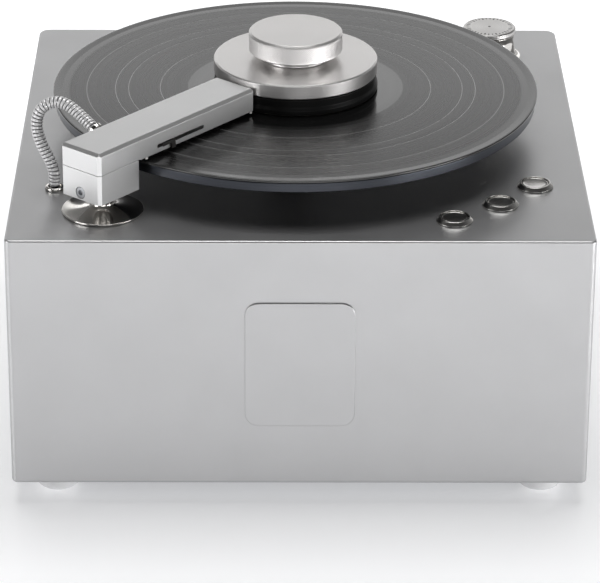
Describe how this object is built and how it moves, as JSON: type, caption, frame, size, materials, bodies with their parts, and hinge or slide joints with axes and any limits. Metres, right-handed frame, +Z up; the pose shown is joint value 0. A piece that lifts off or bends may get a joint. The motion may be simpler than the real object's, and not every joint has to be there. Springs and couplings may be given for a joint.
{
  "type": "record cleaning machine",
  "caption": "Record cleaning machine: a square metal case with a platter, a screw-down clamp, a suction arm on a post, a ribbed hose, push buttons and a dial.",
  "frame": {"origin": "on the table, under the middle of the machine's outer box", "axes": "+Z up, -Y towards the front with the plate and the buttons, +X to the right"},
  "size_m": [0.346, 0.372, 0.2386],
  "materials": {
    "case_silver": "satin, fine grain",
    "aluminium": "satin, turned or milled",
    "platter": "turned",
    "steel": "brushed",
    "chrome": "polished",
    "bronze": "sintered bronze",
    "brass": "turned",
    "black_rubber": "moulded, slightly glossy",
    "vinyl": "pressed grooves",
    "paper": "matte paper",
    "hose": "ribbed",
    "velvet": "short velvet on a dark carrier",
    "foot_grey": "satin",
    "black_plastic": "moulded",
    "grey_plastic": "moulded",
    "white_plastic": "moulded",
    "board": "solder mask"
  },
  "bodies": {
    "case": {"case_cover": "case_silver", "base_plate": "steel", "foot_front_left": "foot_grey", "foot_front_right": "foot_grey", "foot_rear_left": "foot_grey", "foot_rear_right": "foot_grey", "front_badge": "case_silver", "bearing_housing": "steel", "bearing_bush": "bronze", "thrust_washer": "white_plastic", "drive_motor": "steel", "motor_bracket": "steel", "drive_belt": "black_rubber", "arm_base_flare": "chrome", "arm_guide_tube": "steel", "lift_spring": "steel", "hose_gland": "chrome", "suction_hose": "hose", "button_1_bezel": "chrome", "button_2_bezel": "chrome", "button_3_bezel": "chrome", "dial_base": "chrome", "dial_sensor": "black_plastic", "waste_tank": "white_plastic", "tank_lid": "white_plastic", "waste_pipe": "white_plastic", "air_pipe": "grey_plastic", "vacuum_motor": "grey_plastic", "vacuum_cradle": "steel", "control_board": "board", "power_supply": "steel", "mains_inlet": "black_plastic", "switch_frame": "black_plastic", "exhaust_grille": "black_plastic", "drain_cock": "chrome"},
    "platter": {"platter": "platter", "platter_mat": "black_rubber", "platter_pulley": "aluminium", "spindle_shaft": "chrome", "record": "vinyl", "record_label": "paper"},
    "clamp": {"clamp_seal": "black_rubber", "clamp_disc": "aluminium"},
    "clamp_knob": {"clamp_knob": "aluminium"},
    "motor_rotor": {"motor_shaft": "chrome", "motor_pulley": "brass"},
    "arm_post": {"arm_post": "chrome"},
    "arm": {"arm_beam": "aluminium", "arm_block": "aluminium", "arm_screw": "steel", "suction_lip": "velvet", "arm_hose_fitting": "aluminium"},
    "button_1": {"button_1_cap": "chrome"},
    "button_2": {"button_2_cap": "chrome"},
    "button_3": {"button_3_cap": "chrome"},
    "dial": {"dial_knob": "aluminium", "dial_shaft": "steel"},
    "rocker": {"switch_rocker": "black_plastic"},
    "lever": {"drain_lever": "chrome"}
  },
  "joints": [
    {"name": "platter_spin", "type": "hinge", "parent": "case", "child": "platter", "pos_m": [-0.0023, -0.01195, 0.1], "axis": [0, 0, 1], "continuous": true},
    {"name": "motor_spin", "type": "hinge", "parent": "case", "child": "motor_rotor", "pos_m": [0.03755, -0.05944, 0.1], "axis": [0, 0, 1], "continuous": true},
    {"name": "clamp_lift", "type": "slide", "parent": "platter", "child": "clamp", "axis": [0, 0, 1], "range_m": [0, 0.035]},
    {"name": "clamp_turn", "type": "hinge", "parent": "clamp", "child": "clamp_knob", "pos_m": [-0.0023, -0.01195, 0.23], "axis": [0, 0, 1], "continuous": true},
    {"name": "arm_lift", "type": "slide", "parent": "case", "child": "arm_post", "axis": [0, 0, 1], "range_m": [-0.0008, 0], "stiffness_N_per_m": 1000, "springref_m": 0.006, "deforming": ["lift_spring"]},
    {"name": "arm_swing", "type": "hinge", "parent": "arm_post", "child": "arm", "pos_m": [-0.1172, -0.14045, 0.19], "axis": [0, 0, 1], "range_deg": [-95, 0]},
    {"name": "button_1_press", "type": "slide", "parent": "case", "child": "button_1", "axis": [0, 0, 1], "range_m": [-0.0015, 0], "stiffness_N_per_m": 600, "springref_m": 0.0005},
    {"name": "button_2_press", "type": "slide", "parent": "case", "child": "button_2", "axis": [0, 0, 1], "range_m": [-0.0015, 0], "stiffness_N_per_m": 600, "springref_m": 0.0005},
    {"name": "button_3_press", "type": "slide", "parent": "case", "child": "button_3", "axis": [0, 0, 1], "range_m": [-0.0015, 0], "stiffness_N_per_m": 600, "springref_m": 0.0005},
    {"name": "dial_turn", "type": "hinge", "parent": "case", "child": "dial", "pos_m": [0.1259, 0.11105, 0.19], "axis": [0, 0, 1], "range_deg": [-140, 140]},
    {"name": "rocker_tip", "type": "hinge", "parent": "case", "child": "rocker", "pos_m": [0.115, 0.16075, 0.093], "axis": [1, 0, 0], "range_deg": [0, 16]},
    {"name": "drain_turn", "type": "hinge", "parent": "case", "child": "lever", "pos_m": [-0.09, 0.17005, 0.044], "axis": [0, 0, 1], "range_deg": [0, 90]}
  ],
  "couplings": [
    {"joint": "motor_spin", "follows": "platter_spin", "ratio": 3.9213}
  ]
}
